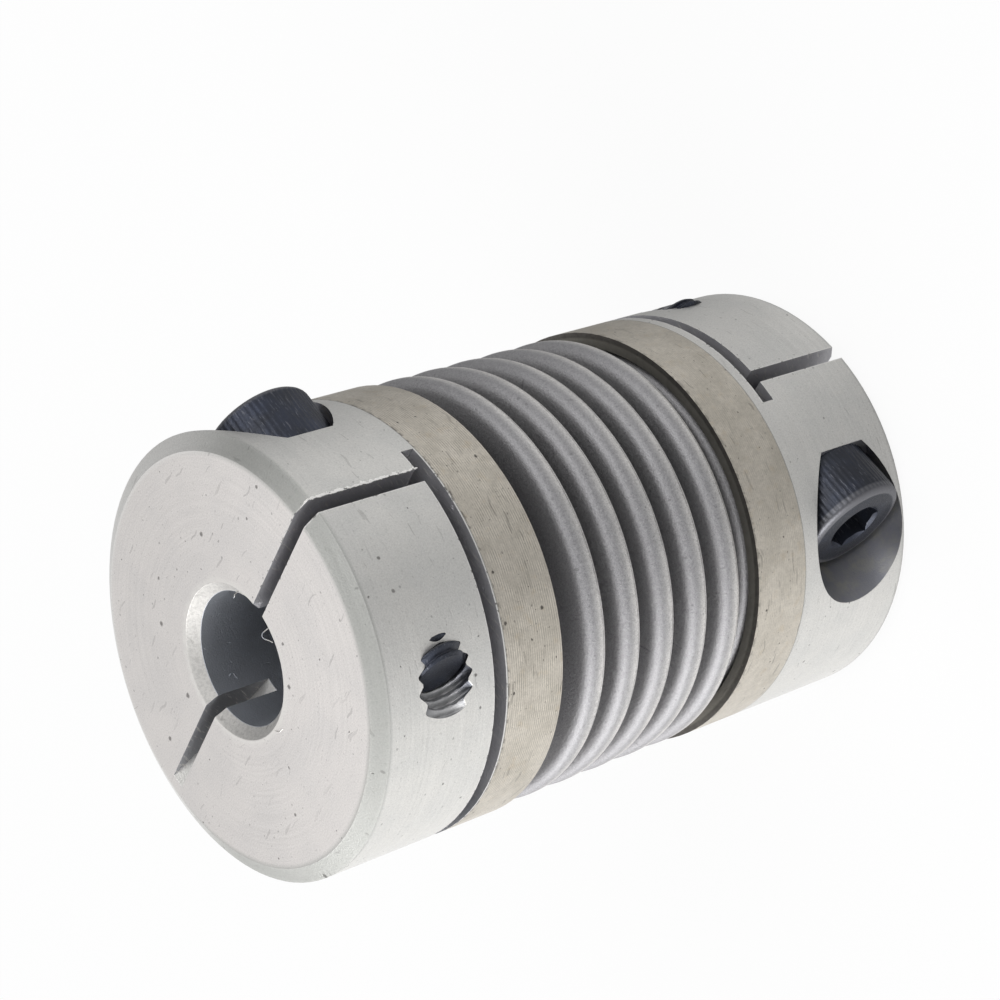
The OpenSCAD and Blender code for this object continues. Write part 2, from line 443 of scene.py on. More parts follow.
def finishSurface(tree, surface, finish, colour, rough, height, bumpDepth=0.02):
    # the parts of a finish that every metal here has
    bump = addNode(tree, "ShaderNodeBump", {
        "Strength": finish["bump"], "Distance": bumpDepth * mm, "Height": height})
    surface.inputs["Metallic"].default_value = finish["metallic"]
    put(tree, surface.inputs["Base Color"], colour)
    put(tree, surface.inputs["Roughness"], rough)
    put(tree, surface.inputs["Normal"], bump.outputs[0])


hubFinish = {
    "skin": (0.71, 0.70, 0.675),
    "cloud": (0.665, 0.66, 0.64),
    "face": (0.765, 0.735, 0.715),
    "faceCloud": (0.725, 0.70, 0.685),
    # painted shade in the hollows: walls of the slits, bore, counterbore with lighter brownish mottles, and
    # tapped hole
    "wall": (0.56, 0.555, 0.58),
    "innerWall": (0.36, 0.365, 0.39),
    "wallScratch": (0.80, 0.78, 0.74),
    "bore": (0.46, 0.48, 0.52),
    "counterbore": (0.27, 0.275, 0.31),
    "swarf": (0.36, 0.35, 0.32),
    "tapped": (0.15, 0.155, 0.175),
    "grit": (0.10, 0.095, 0.09),
    "burr": (0.93, 0.92, 0.89),
    "countersink": (0.50, 0.49, 0.475),
    "frost": (0.84, 0.82, 0.79),
    # painted shade on the edge chamfer, and painted light on its lighter side
    "chamfer": (0.44, 0.445, 0.425),
    "litChamfer": (0.84, 0.83, 0.81),
    "metallic": 0.85,
    "roughness": 0.46,
    "bump": 0.6,
    # how strongly each kind of mark darkens the skin
    "dustShare": 0.13,
    "gritShare": 0.38,
    "pitShare": 0.7,
    "markShare": 0.24,
}


def makeHubAluminium(groups):
    f = hubFinish
    material, tree, surface = newMaterial("hubAluminium")
    place, (x, y, z) = inMillimetres(tree)
    way, onFace = flatFace(tree)
    marked = unrolled(tree, x, y, z, onFace)
    where = useGroup(tree, groups["hubPlaces"], Place=place, Way=way)
    endFace = times(tree, onFace, smooth(tree, where["Depth"], 0.3, 0.1))
    # the face was turned across its radius, and the side along its length
    along = plus(tree, times(tree, onFace, where["Radius"]), times(tree, minus(tree, 1.0, onFace), z))
    lines = useGroup(tree, groups["turnedLines"], Place=place, Along=along, Lines=7.0)
    skin = useGroup(tree, groups["grain"], Place=place, Grains=13.0, Clouds=0.45)
    pits = useGroup(tree, groups["specks"], Place=marked, Cells=0.62, Share=0.22, Size=0.085)["Mask"]
    grit = useGroup(tree, groups["specks"], Place=marked, Cells=1.9, Share=0.16, Size=0.14)["Mask"]
    dust = useGroup(tree, groups["specks"], Place=marked, Cells=5.2, Share=0.30, Size=0.30)["Mask"]
    marks = useGroup(tree, groups["scratches"], Place=marked, Share=0.22, Width=0.07)["Mask"]

    def coat(colour, mask, share, top):
        return blend(tree, times(tree, mask, share), colour, top)

    soft = smooth(tree, skin["Cloud"], 0.35, 0.7)
    colour = blend(tree, soft, f["skin"], f["cloud"])
    colour = blend(tree, endFace, colour, blend(tree, soft, f["face"], f["faceCloud"]))
    # painted shade on the edge chamfer, with painted light on it towards the front screw's head
    chamferLitSide = smooth(tree, timesPlus(tree, x, -0.5, y), -1.0, 6.5)
    colour = coat(colour, where["Chamfer"], 0.85, blend(tree, chamferLitSide, f["chamfer"], f["litChamfer"]))
    # painted light: one side of the end faces is a little brighter
    rubbedAndLit = smooth(tree, minus(tree, times(tree, x, 0.8), times(tree, y, 0.6)), -6.0, 8.0)
    rubbedAndLit = timesPlus(tree, times(tree, rubbedAndLit, endFace), 0.13, 0.97)
    fine = timesPlus(tree, skin["Fine"], 0.36, 0.82)
    turned = times(tree, minus(tree, lines["Height"], 0.5), times(tree, lines["Fade"], 0.2))
    colour = dimmed(tree, colour, times(tree, plus(tree, fine, turned), rubbedAndLit))
    frost = timesPlus(tree, smooth(tree, noise(tree, place, 6.0, 3, 0.7), 0.42, 0.62), 0.3, 0.7)
    colour = coat(colour, where["Frosted"], frost, f["frost"])
    colour = coat(colour, where["Countersink"], frost, f["countersink"])
    for mask, share in ((dust, "dustShare"), (grit, "gritShare"), (pits, "pitShare"), (marks, "markShare")):
        colour = coat(colour, mask, f[share], f["grit"])
    nick = smooth(tree, noise(tree, place, 4.1, 2), 0.60, 0.66)
    colour = coat(colour, where["Sawn Edge"], 0.35, f["burr"])
    colour = blend(tree, where["Burr"], colour, f["burr"])
    colour = coat(colour, where["Sawn Edge"], times(tree, nick, 0.8), f["grit"])
    colour = coat(colour, where["Joint"], 0.75, f["grit"])
    # the saw left slanted scratches on the walls of the slits
    slant = combine(tree, times(tree, plus(tree, x, times(tree, z, 1.3)), 0.8),
                    times(tree, minus(tree, z, times(tree, x, 0.9)), 7.0), y)
    sawn = times(tree, smooth(tree, noise(tree, slant, 1.0, 3, 0.6), 0.55, 0.72), where["Walls"])
    # painted shade on the walls of the slits, darker on the inner side, under the saw's scratches
    wall = coat(blend(tree, smooth(tree, x, 1.0, -1.0), f["wall"], f["innerWall"]), sawn, 0.7, f["wallScratch"])
    colour = coat(colour, where["Walls"], 0.94, wall)
    # painted shade in the counterbore, with lighter brownish mottles
    pocket = blend(tree, smooth(tree, noise(tree, place, 0.9, 5, 0.7), 0.40, 0.75), f["counterbore"], f["swarf"])
    colour = coat(colour, where["Counterbore"], 0.95, pocket)
    # painted shade in the tapped hole
    colour = blend(tree, where["Tapped"], colour, f["tapped"])
    # painted shade in the bore
    colour = coat(colour, where["Bore"], 0.95, f["bore"])

    rough = timesPlus(tree, skin["Cloud"], 0.16, f["roughness"] - 0.08)
    rough = timesPlus(tree, larger(tree, pits, where["Countersink"]), 0.2, rough)
    height = timesPlus(tree, times(tree, lines["Height"], lines["Fade"]), 0.5, skin["Fine"])
    height = timesPlus(tree, pits, -1.8, height)
    height = timesPlus(tree, larger(tree, marks, sawn), -0.7, height)
    height = timesPlus(tree, where["Burr"], 1.5, height)
    finishSurface(tree, surface, f, colour, rough, height)
    return material


tappedFinish = {
    # painted shade for the tapped hole's lining
    "skin": (0.20, 0.205, 0.225),
    "dark": (0.11, 0.115, 0.135),
    "litFarWall": (0.60, 0.60, 0.60),
    "metallic": 0.9,
    "roughness": 0.4,
    "bump": 0.5,
}


def makeTappedAluminium(groups):
    # painted shade: the cut thread is darker than the skin
    f = tappedFinish
    c = coupling
    material, tree, surface = newMaterial("tappedAluminium")
    place, (x, y, _) = inMillimetres(tree)
    skin = useGroup(tree, groups["grain"], Place=place, Grains=9.0, Clouds=1.3)
    colour = blend(tree, smooth(tree, skin["Cloud"], 0.4, 0.62), f["skin"], f["dark"])
    # painted light: the wall away from the slits' mouths is lighter
    wall = smooth(tree, x, c["screwX"] - 0.5, c["screwX"] - 1.3)
    colour = blend(tree, times(tree, wall, 0.75), colour, f["litFarWall"])
    # its ends lie in the hub's own skin
    colour = blend(tree, above(tree, lengthOf(tree, x, y), c["bodyRadius"] - 0.02), colour, hubFinish["skin"])
    colour = dimmed(tree, colour, timesPlus(tree, skin["Fine"], 0.5, 0.75))
    rough = timesPlus(tree, skin["Fine"], 0.3, f["roughness"] - 0.12)
    finishSurface(tree, surface, f, colour, rough, skin["Fine"])
    return material


collarFinish = {
    "skin": (0.58, 0.54, 0.475),
    "cloud": (0.50, 0.465, 0.405),
    "rust": (0.42, 0.35, 0.25),
    # painted shade for the end faces and the inside of the lip
    "lip": (0.10, 0.095, 0.09),
    "lipInner": (0.27, 0.26, 0.235),
    "grit": (0.06, 0.055, 0.05),
    "metallic": 0.85,
    "roughness": 0.42,
    "bump": 0.5,
    "linePitch": 0.125,
}


def makeCollarSteel(groups, name, lineDepth, seed):
    f = collarFinish
    c = coupling
    material, tree, surface = newMaterial(name)
    place, (x, y, z) = inMillimetres(tree)
    onFace = flatFace(tree)[1]
    marked = unrolled(tree, x, y, z, onFace, seed)
    lines = useGroup(tree, groups["turnedLines"], Place=place, Along=z, Lines=8.5)
    # fine turned lines that waver and break up round the ring
    waver = timesPlus(tree, noise(tree, place, 0.7, 2), 2.4, times(tree, z, 2 * math.pi / f["linePitch"]))
    fineLines = mathNode(tree, "SINE", waver)
    broken = smooth(tree, noise(tree, place, 1.7, 3, 0.6), 0.40, 0.60)
    skin = useGroup(tree, groups["grain"], Place=place, Grains=11.0, Clouds=0.55)
    mottle = useGroup(tree, groups["grain"], Place=place, Grains=3.6, Clouds=1.8)
    pits = useGroup(tree, groups["specks"], Place=marked, Cells=0.9, Share=0.35, Size=0.09)["Mask"]
    grit = useGroup(tree, groups["specks"], Place=marked, Cells=2.6, Share=0.26, Size=0.15)["Mask"]
    marks = useGroup(tree, groups["scratches"], Place=marked, Share=0.5, Width=0.07)["Mask"]

    colour = blend(tree, smooth(tree, skin["Cloud"], 0.35, 0.68), f["skin"], f["cloud"])
    stain = smooth(tree, mottle["Cloud"], 0.56, 0.74)
    colour = blend(tree, times(tree, stain, 0.35), colour, f["rust"])
    shade = timesPlus(tree, skin["Fine"], 0.36, 0.82)
    shade = timesPlus(tree, minus(tree, mottle["Fine"], 0.5), 0.34, shade)
    turned = times(tree, fineLines, timesPlus(tree, broken, 0.19 * lineDepth, 0.03 * lineDepth))
    colour = dimmed(tree, colour, plus(tree, shade, turned))
    spots = larger(tree, times(tree, pits, 0.85), times(tree, grit, 0.5))
    # dirt sits along both edges of the ring
    depth = depthIn(tree, z)
    edge = smaller(tree, minus(tree, depth, c["clampLength"]), minus(tree, c["collarEnd"], depth))
    dirt = times(tree, smooth(tree, edge, 0.26, 0.12), smooth(tree, noise(tree, place, 3.2, 3), 0.50, 0.58))
    dirt = times(tree, dirt, 0.25 + 0.35 * lineDepth)
    colour = blend(tree, larger(tree, spots, dirt), colour, f["grit"])
    colour = blend(tree, times(tree, marks, 0.34), colour, f["grit"])
    # painted shade on the end faces and on the inside of the lip
    radius = lengthOf(tree, x, y)
    shadedFaces = larger(tree, onFace, under(tree, radius, c["bodyRadius"] - 0.1))
    lip = blend(tree, smooth(tree, radius, 10.3, 10.15), f["lip"], f["lipInner"])
    colour = blend(tree, times(tree, shadedFaces, 0.9), colour, lip)

    rough = timesPlus(tree, skin["Cloud"], 0.2, f["roughness"] - 0.1)
    height = timesPlus(tree, fineLines, 0.3 * lineDepth, skin["Fine"])
    height = timesPlus(tree, lines["Height"], 0.8 * lineDepth, height)
    height = timesPlus(tree, mottle["Fine"], 1.2, height)
    height = timesPlus(tree, spots, -1.5, height)
    finishSurface(tree, surface, f, colour, rough, height)
    return material


bellowsFinish = {
    "skin": (0.80, 0.78, 0.755),
    "cloud": (0.69, 0.675, 0.66),
    # painted shade on the front flanks and in the valleys
    "valley": (0.36, 0.355, 0.365),
    # painted highlight on the crests
    "rim": (0.97, 0.955, 0.93),
    "line": (0.14, 0.135, 0.14),
    "metallic": 0.95,
    "roughness": 0.44,
    "bump": 0.8,
}


def makeBellowsSteel(groups):
    f = bellowsFinish
    b = bellowsSizes
    material, tree, surface = newMaterial("bellowsSteel")
    place, (x, y, z) = inMillimetres(tree)
    radius = lengthOf(tree, x, y)
    marked = unrolled(tree, x, y, z, 0.0)
    skin = useGroup(tree, groups["grain"], Place=place, Grains=8.0, Clouds=0.6)
    drawn = useGroup(tree, groups["grain"], Place=place, Grains=19.0, Clouds=1.6)
    grit = useGroup(tree, groups["specks"], Place=marked, Cells=1.7, Share=0.25, Size=0.16)["Mask"]
    # place within one convolution: 0 at a crest's middle, towards the rear negative
    pitch = b["pitch"]
    turn = minus(tree, z, b["firstCrest"] - pitch / 2)
    within = minus(tree, mathNode(tree, "MODULO", turn, pitch), pitch / 2)
    wander = timesPlus(tree, noise(tree, place, 0.5, 2), 0.07, minus(tree, within, 0.035))
    high = smooth(tree, radius, 9.6, 9.95)
    # the forming roll left a fine line on each crest, and a painted highlight lies as a bright flat towards the
    # rear of each crest
    seam = times(tree, band(tree, wander, -0.355, -0.315, 0.015), high)
    rim = times(tree, band(tree, wander, -0.64, -0.50, 0.03), high)
    colour = blend(tree, smooth(tree, skin["Cloud"], 0.3, 0.7), f["skin"], f["cloud"])
    colour = blend(tree, times(tree, rim, 0.5), colour, f["rim"])
    # painted shade on the front flank of each crest and in the valleys, which are also rougher
    dullAndShaded = larger(tree, smooth(tree, within, -0.4, 0.3), smooth(tree, radius, 9.95, 9.1))
    colour = blend(tree, dullAndShaded, colour, f["valley"])
    shade = timesPlus(tree, skin["Fine"], 0.6, 0.7)
    shade = timesPlus(tree, minus(tree, drawn["Fine"], 0.5), 0.8, shade)
    colour = dimmed(tree, colour, shade)
    broken = smooth(tree, noise(tree, place, 1.2, 3), 0.35, 0.6)
    colour = blend(tree, times(tree, seam, timesPlus(tree, broken, 0.5, 0.25)), colour, f["line"])
    colour = blend(tree, times(tree, grit, 0.4), colour, f["line"])

    rough = timesPlus(tree, skin["Fine"], 0.2, f["roughness"] - 0.1)
    rough = timesPlus(tree, dullAndShaded, 0.16, rough)
    height = timesPlus(tree, drawn["Fine"], 0.7, skin["Fine"])
    height = timesPlus(tree, seam, -1.0, height)
    finishSurface(tree, surface, f, colour, rough, height, 0.025)
    return material


screwFinish = {
    "skin": (0.034, 0.037, 0.047),
    "blue": (0.040, 0.047, 0.070),
    "worn": (0.17, 0.175, 0.20),
    "edge": (0.20, 0.20, 0.215),
    "metallic": 0.7,
    "roughness": 0.36,
    "bump": 0.4,
}


def makeBlackOxide(groups):
    f = screwFinish
    material, tree, surface = newMaterial("blackOxide")
    place, (x, y, z) = inMillimetres(tree)
    skin = useGroup(tree, groups["grain"], Place=place, Grains=12.0, Clouds=0.7)
    # rolled and knurled metal is streaked along the screw, so the streaks run with y
    stretched = combine(tree, times(tree, x, 13.0), times(tree, y, 1.8), times(tree, z, 13.0))
    streak = noise(tree, stretched, 1.0, 3, 0.65)
    # the edge round the head's top is rubbed bare
    headTop = smooth(tree, absolute(tree, y), 7.05, 7.2)
    rubbedAndLit = times(tree, band(tree, offScrewAxis(tree, x, depthIn(tree, z)), 2.35, 2.74, 0.06), headTop)
    colour = blend(tree, smooth(tree, skin["Cloud"], 0.4, 0.75), f["skin"], f["blue"])
    colour = blend(tree, times(tree, smooth(tree, streak, 0.56, 0.76), 0.8), colour, f["worn"])
    colour = blend(tree, times(tree, rubbedAndLit, 0.75), colour, f["edge"])
    rough = timesPlus(tree, skin["Fine"], 0.3, f["roughness"] - 0.12)
    finishSurface(tree, surface, f, colour, rough, timesPlus(tree, streak, 1.2, skin["Fine"]))
    return material


def geometryTree(name, sizes):
    # a tree with one named number for each size, and the sockets to build with
    tree = bpy.data.node_groups.new(name, "GeometryNodeTree")
    tree.interface.new_socket(name="Geometry", in_out="INPUT", socket_type="NodeSocketGeometry")
    for label, value in sizes.items():
        kind = "NodeSocketInt" if isinstance(value, int) else "NodeSocketFloat"
        tree.interface.new_socket(name=label, in_out="INPUT", socket_type=kind).default_value = value
    tree.interface.new_socket(name="Finish", in_out="INPUT", socket_type="NodeSocketMaterial")
    tree.interface.new_socket(name="Geometry", in_out="OUTPUT", socket_type="NodeSocketGeometry")
    return tree, tree.nodes.new("NodeGroupInput").outputs, tree.nodes.new("NodeGroupOutput").inputs


def finishTree(tree, geometry, ins, outs):
    # every tree ends with real meshes in their material
    real = addNode(tree, "GeometryNodeRealizeInstances", {0: geometry})
    coat = addNode(tree, "GeometryNodeSetMaterial", {"Geometry": real.outputs[0], "Material": ins["Finish"]})
    put(tree, outs[0], coat.outputs[0])
    return tree


def meshOf(thing):
    # what an object looks like after its modifiers or its sweep, as a plain mesh
    bpy.context.scene.collection.objects.link(thing)
    bpy.context.view_layer.update()
    mesh = bpy.data.meshes.new_from_object(thing.evaluated_get(bpy.context.evaluated_depsgraph_get()))
    bpy.data.objects.remove(thing)
    return mesh


def newPiece(name, mesh):
    mesh.name = name
    piece = bpy.data.objects.new(name, mesh)
    bpy.context.scene.collection.objects.link(piece)
    return piece


def bake(name, tree, sizes, material, start=None):
    # runs the tree once and keeps its result as a plain mesh
    holder = bpy.data.objects.new(name + "Holder", start or bpy.data.meshes.new(name + "Start"))
    modifier = holder.modifiers.new("made", "NODES")
    modifier.node_group = tree
    for socket in tree.interface.items_tree:
        if socket.in_out == "INPUT" and socket.name in sizes:
            modifier[socket.identifier] = sizes[socket.name]
        if socket.in_out == "INPUT" and socket.name == "Finish":
            modifier[socket.identifier] = material
    mesh = meshOf(holder)
    if not mesh.materials:
        mesh.materials.append(material)
    return newPiece(name, mesh)


def polar(tree):
    # each point's angle, how far it is from the axis, and its height
    x, y, z = splitUp(tree, tree.nodes.new("GeometryNodeInputPosition").outputs[0])
    return mathNode(tree, "ARCTAN2", y, x), lengthOf(tree, x, y), z


def placeAt(tree, geometry, angle, radius, height):
    place = combine(tree, times(tree, radius, mathNode(tree, "COSINE", angle)),
                    times(tree, radius, mathNode(tree, "SINE", angle)), height)
    return addNode(tree, "GeometryNodeSetPosition", {"Geometry": geometry, "Position": place}).outputs[0]


def zigzag(tree, value, flat):
    # 0 to 1 and back once for each whole number, with flats at both ends
    saw = absolute(tree, timesPlus(tree, mathNode(tree, "FRACT", value), 2.0, -1.0))
    wide = over(tree, minus(tree, saw, flat), 1 - 2 * flat)
    return smaller(tree, larger(tree, wide, 0.0), 1.0)


def tube(tree, around, rows, length, radius=1.0):
    return addNode(tree, "GeometryNodeMeshCylinder", {
        "Vertices": around, "Side Segments": rows, "Radius": radius, "Depth": length},
        fill_type="TRIANGLE_FAN").outputs["Mesh"]


def capsShut(tree, size, radius):
    # the middle points of a tube's two caps stay on the axis
    return times(tree, size, above(tree, radius, 0.01))


def threadTurns(tree, height, angle, pitch):
    return minus(tree, over(tree, height, pitch), over(tree, angle, 2 * math.pi))


def raised(tree, geometry, height):
    return addNode(tree, "GeometryNodeTransform", {
        "Geometry": geometry, "Translation": combine(tree, 0.0, 0.0, height)}).outputs[0]


def cutWith(tree, kind, body, *others):
    # with INTERSECT every mesh goes into the one socket that takes several
    cut = addNode(tree, "GeometryNodeMeshBoolean", {}, operation=kind, solver="EXACT")
    put(tree, cut.inputs[1 if kind == "INTERSECT" else 0], body)
    for other in others:
        put(tree, cut.inputs[1], other)
    return cut.outputs[0]


thread = {
    "points": 72,  # round one turn
    "flat": 0.14,  # share of a turn that is flat at the top, and at the bottom
}

screwSizes = {
    "Thread Radius": 1.5 * mm,
    "Thread Depth": 0.27 * mm,
    "Thread Pitch": 0.5 * mm,
    "Shank Length": 12.0 * mm,
    "Shank In Head": 0.4 * mm,
    "Tip Chamfer": 0.32 * mm,
    "Thread Rows": 288,
    "Head Radius": 2.75 * mm,
    "Head Height": 3.0 * mm,
    "Head Rows": 40,
    "Head Edge": 0.32 * mm,
    "Knurls": 60,
    "Knurl Depth": 0.03 * mm,
    "Socket Radius": 1.4434 * mm,
    "Socket Depth": 1.3 * mm,
    "Socket Countersink": 0.15 * mm,
}


def screwTree():
    # stands on its seat: head above, thread below, axis up
    tree, ins, outs = geometryTree("capScrew", screwSizes)
    length = plus(tree, ins["Shank Length"], ins["Shank In Head"])
    shank = tube(tree, thread["points"], ins["Thread Rows"], length)
    angle, radius, height = polar(tree)
    height = minus(tree, height, minus(tree, times(tree, length, 0.5), ins["Shank In Head"]))
    turns = threadTurns(tree, height, angle, ins["Thread Pitch"])
    ridge = times(tree, zigzag(tree, turns, thread["flat"]), ins["Thread Depth"])
    size = plus(tree, minus(tree, ins["Thread Radius"], ins["Thread Depth"]), ridge)
    fromTip = plus(tree, height, ins["Shank Length"])
    size = smaller(tree, size, plus(tree, minus(tree, ins["Thread Radius"], ins["Tip Chamfer"]), fromTip))
    shank = placeAt(tree, shank, angle, capsShut(tree, size, radius), height)
    # head, with four points round it for each knurl
    head = tube(tree, times(tree, ins["Knurls"], 4.0), ins["Head Rows"], ins["Head Height"])
    angle, radius, height = polar(tree)
    height = timesPlus(tree, ins["Head Height"], 0.5, height)
    knurl = zigzag(tree, times(tree, over(tree, angle, 2 * math.pi), ins["Knurls"]), 0.12)
    size = minus(tree, ins["Head Radius"], times(tree, knurl, ins["Knurl Depth"]))
    # the upper edge is rounded off as a quarter circle
    part = smaller(tree, over(tree, minus(tree, ins["Head Height"], height), ins["Head Edge"]), 1.0)
    left = minus(tree, 1.0, power(tree, minus(tree, 1.0, part), 2.0))
    inward = minus(tree, 1.0, root(tree, larger(tree, left, 0.0)))
    size = smaller(tree, size, minus(tree, ins["Head Radius"], times(tree, inward, ins["Head Edge"])))
    head = placeAt(tree, head, angle, capsShut(tree, size, radius), height)
    # hexagon socket and its countersink
    socket = tube(tree, 6, 1, times(tree, ins["Socket Depth"], 2.0), ins["Socket Radius"])
    sink = addNode(tree, "GeometryNodeMeshCone", {
        "Vertices": 64,
        "Radius Top": timesPlus(tree, ins["Socket Countersink"], 2.0, ins["Socket Radius"]),
        "Radius Bottom": minus(tree, ins["Socket Radius"], ins["Socket Countersink"]),
        "Depth": times(tree, ins["Socket Countersink"], 3.0)}).outputs["Mesh"]
    head = cutWith(tree, "DIFFERENCE", head, raised(tree, socket, ins["Head Height"]),
                   raised(tree, sink, minus(tree, ins["Head Height"], ins["Socket Countersink"])))
    join = addNode(tree, "GeometryNodeJoinGeometry", {0: shank})
    put(tree, join.inputs[0], head)
    return finishTree(tree, join.outputs[0], ins, outs)


def alongScrew(end, seat):
    # from the screw's own upright place to its place in a hub
    c = coupling
    place = Matrix.Translation(Vector((c["screwX"], 0, c["screwDepth"])) * mm)
    place = place @ Matrix.Rotation(math.radians(90), 4, "X") @ Matrix.Translation((0, 0, seat * mm))
    if end == "front":
        turnOver = Matrix.Translation((0, 0, c["length"] * mm)) @ Matrix.Rotation(math.radians(180), 4, "X")
        place = turnOver @ place
    return place


def smoothShade(piece, angle=32):
    # smooth but for edges sharper than the angle, in degrees
    piece.data.shade_smooth()
    bpy.context.view_layer.objects.active = piece
    for other in bpy.context.selected_objects:
        other.select_set(False)
    piece.select_set(True)
    bpy.ops.object.shade_smooth_by_angle(angle=math.radians(angle))
    piece.select_set(False)


def makeScrews(blackOxide):
    tree = screwTree()
    for end in ("front", "rear"):
        piece = bake(end + "CapScrew", tree, screwSizes, blackOxide)
        piece.data.transform(alongScrew(end, coupling[end + "Seat"]))
        smoothShade(piece)
        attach(piece, "root")
        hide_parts(end + "_clamp_screw")
    print("screws made")


tappedSizes = {
    "Hole Radius": 1.528 * mm,
    "Least Wall": 0.008 * mm,
    "Ridge Height": 0.26 * mm,
    "Thread Pitch": 0.5 * mm,
    "Length": 10.0 * mm,
    "Start": 0.38 * mm,
    "Rows": 252,
    "Seat": 4.4 * mm,
}


def tappedTree():
    # a thin lining of the tapped hole, from the slit's plane downwards
    tree, ins, outs = geometryTree("tappedHole", tappedSizes)
    middle = timesPlus(tree, ins["Length"], 0.5, ins["Start"])
    # a plug that ends at the outer surface of the hub
    plug = tube(tree, thread["points"], 1, ins["Length"], ins["Hole Radius"])
    plug = raised(tree, plug, times(tree, middle, -1.0))
    body = tube(tree, 360, 1, 40 * mm, (coupling["bodyRadius"] - 0.002) * mm)
    body = addNode(tree, "GeometryNodeTransform", {
        "Geometry": body, "Rotation": (math.radians(90), 0, 0), "Translation": (-coupling["screwX"] * mm, 0, 0)})
    plug = cutWith(tree, "INTERSECT", plug, body.outputs[0])
    # less the threaded hole, whose grooves stop just short of the plug's wall
    hole = tube(tree, thread["points"], ins["Rows"], plus(tree, ins["Length"], 0.5 * mm))
    angle, radius, height = polar(tree)
    height = minus(tree, height, middle)
    turns = threadTurns(tree, minus(tree, height, ins["Seat"]), angle, ins["Thread Pitch"])
    ridge = times(tree, minus(tree, 1.0, zigzag(tree, turns, thread["flat"])), ins["Ridge Height"])
    size = minus(tree, minus(tree, ins["Hole Radius"], ins["Least Wall"]), ridge)
    hole = placeAt(tree, hole, angle, capsShut(tree, size, radius), height)
    return finishTree(tree, cutWith(tree, "DIFFERENCE", plug, hole), ins, outs)


def makeTappedHoles(aluminium):
    tree = tappedTree()
    for end in ("front", "rear"):
        sizes = {**tappedSizes, "Seat": coupling[end + "Seat"] * mm}
        piece = bake(end + "TappedThread", tree, sizes, aluminium)
        piece.data.transform(alongScrew(end, 0))
        smoothShade(piece)
        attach(piece, "root")
    print("tapped holes made")


bellowsSizes = {
    "Points Around": 193,
    "wall": 0.15,
    "cuffRadius": 7.095,
    "crestRadius": 10.4,
    "endCrestRadius": 9.6,
    "firstCrest": 10.35,
    "lastCrest": 23.45,
    "folds": 5,
    "pitch": 13.1 / 6,
    "cuffBend": 0.3,
    "rearCorner": 0.62,  # below 1 the corner is tighter than a half-round's
    "frontCorner": 0.85,
    "rearCuff": 7.67,
    "frontCuff": 26.83,
    "steps": 16,
}


def bellowsProfile():
    # middle of the wall from the rear cuff to the front cuff, as (radius, height)
    b = bellowsSizes
    bend = b["pitch"] / 4
    half = b["wall"] / 2
    steps = b["steps"]
    last = b["folds"] + 1

    points = [(b["cuffRadius"], b["rearCuff"])]

    def addCuffBend(start, size, order):
        for i in order:
            a = math.pi * i / steps
            points.append((b["cuffRadius"] + b["cuffBend"] * (1 - math.cos(a)), start + size * math.sin(a)))

    addCuffBend(b["firstCrest"] - bend - b["cuffBend"], b["cuffBend"], range(steps // 2 + 1))
    for k in range(last + 1):
        top = b["endCrestRadius"] if k in (0, last) else b["crestRadius"]
        middle = b["firstCrest"] + k * b["pitch"]
        angles = [math.pi * i / steps - math.pi / 2 for i in range(steps + 1)]
        for a in angles:
            bluntness = b["rearCorner"] if a < 0 else b["frontCorner"]
            out = max(math.cos(a), 0.0) ** bluntness
            along = math.copysign(abs(math.sin(a)) ** bluntness, a)
            points.append((top - half - bend + bend * out, middle + bend * along))
        if k < last:
            middle += b["pitch"] / 2
            for a in angles:
                points.append((b["cuffRadius"] + bend - bend * math.cos(a), middle + bend * math.sin(a)))
    addCuffBend(b["lastCrest"] + bend + b["cuffBend"], -b["cuffBend"], range(steps // 2, -1, -1))
    points.append((b["cuffRadius"], b["frontCuff"]))
    return points


def spunTree(name, around):
    # spins the points of the starting mesh round the axis, one row for each point
    tree, ins, outs = geometryTree(name, {"Points Around": around})
    count = addNode(tree, "GeometryNodeAttributeDomainSize", {0: ins["Geometry"]}).outputs["Point Count"]
    grid = addNode(tree, "GeometryNodeMeshGrid", {"Vertices X": count, "Vertices Y": ins["Points Around"]})
    index = tree.nodes.new("GeometryNodeInputIndex").outputs[0]
    row = mathNode(tree, "FLOOR", over(tree, plus(tree, index, 0.5), ins["Points Around"]))
    column = minus(tree, index, times(tree, row, ins["Points Around"]))
    position = tree.nodes.new("GeometryNodeInputPosition").outputs[0]
    sample = addNode(tree, "GeometryNodeSampleIndex", {
        "Geometry": ins["Geometry"], "Value": position, "Index": row}, data_type="FLOAT_VECTOR")
    point = splitUp(tree, sample.outputs[0])
    angle = times(tree, over(tree, column, minus(tree, ins["Points Around"], 1.0)), 2 * math.pi)
    spun = placeAt(tree, grid.outputs["Mesh"], angle, point[0], point[2])
    merged = addNode(tree, "GeometryNodeMergeByDistance", {"Geometry": spun, "Distance": 1e-7})
    return finishTree(tree, merged.outputs[0], ins, outs)


def makeBellows(bellowsSteel):
    start = bpy.data.meshes.new("bellowsProfile")
    start.from_pydata([(r * mm, 0, h * mm) for r, h in bellowsProfile()], [], [])
    tree = spunTree("spunWall", bellowsSizes["Points Around"])
    piece = bake("bellowsWall", tree, bellowsSizes, bellowsSteel, start)
    piece.data.shade_smooth()
    thick = piece.modifiers.new("wall", "SOLIDIFY")
    thick.thickness = bellowsSizes["wall"] * mm
    thick.offset = 0
    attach(piece, "root")
    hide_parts("bellows")
    print("bellows made")


burrSizes = {
    "Length": 6.0 * mm,
    "Rows": 300,
    "Thin": 0.012 * mm,
    "Thick": 0.11 * mm,
}

burrPlace = {
    "fromFace": 0.5,
    "inward": 0.01,
    "aside": 0.012,
    "flatness": 0.45,
}


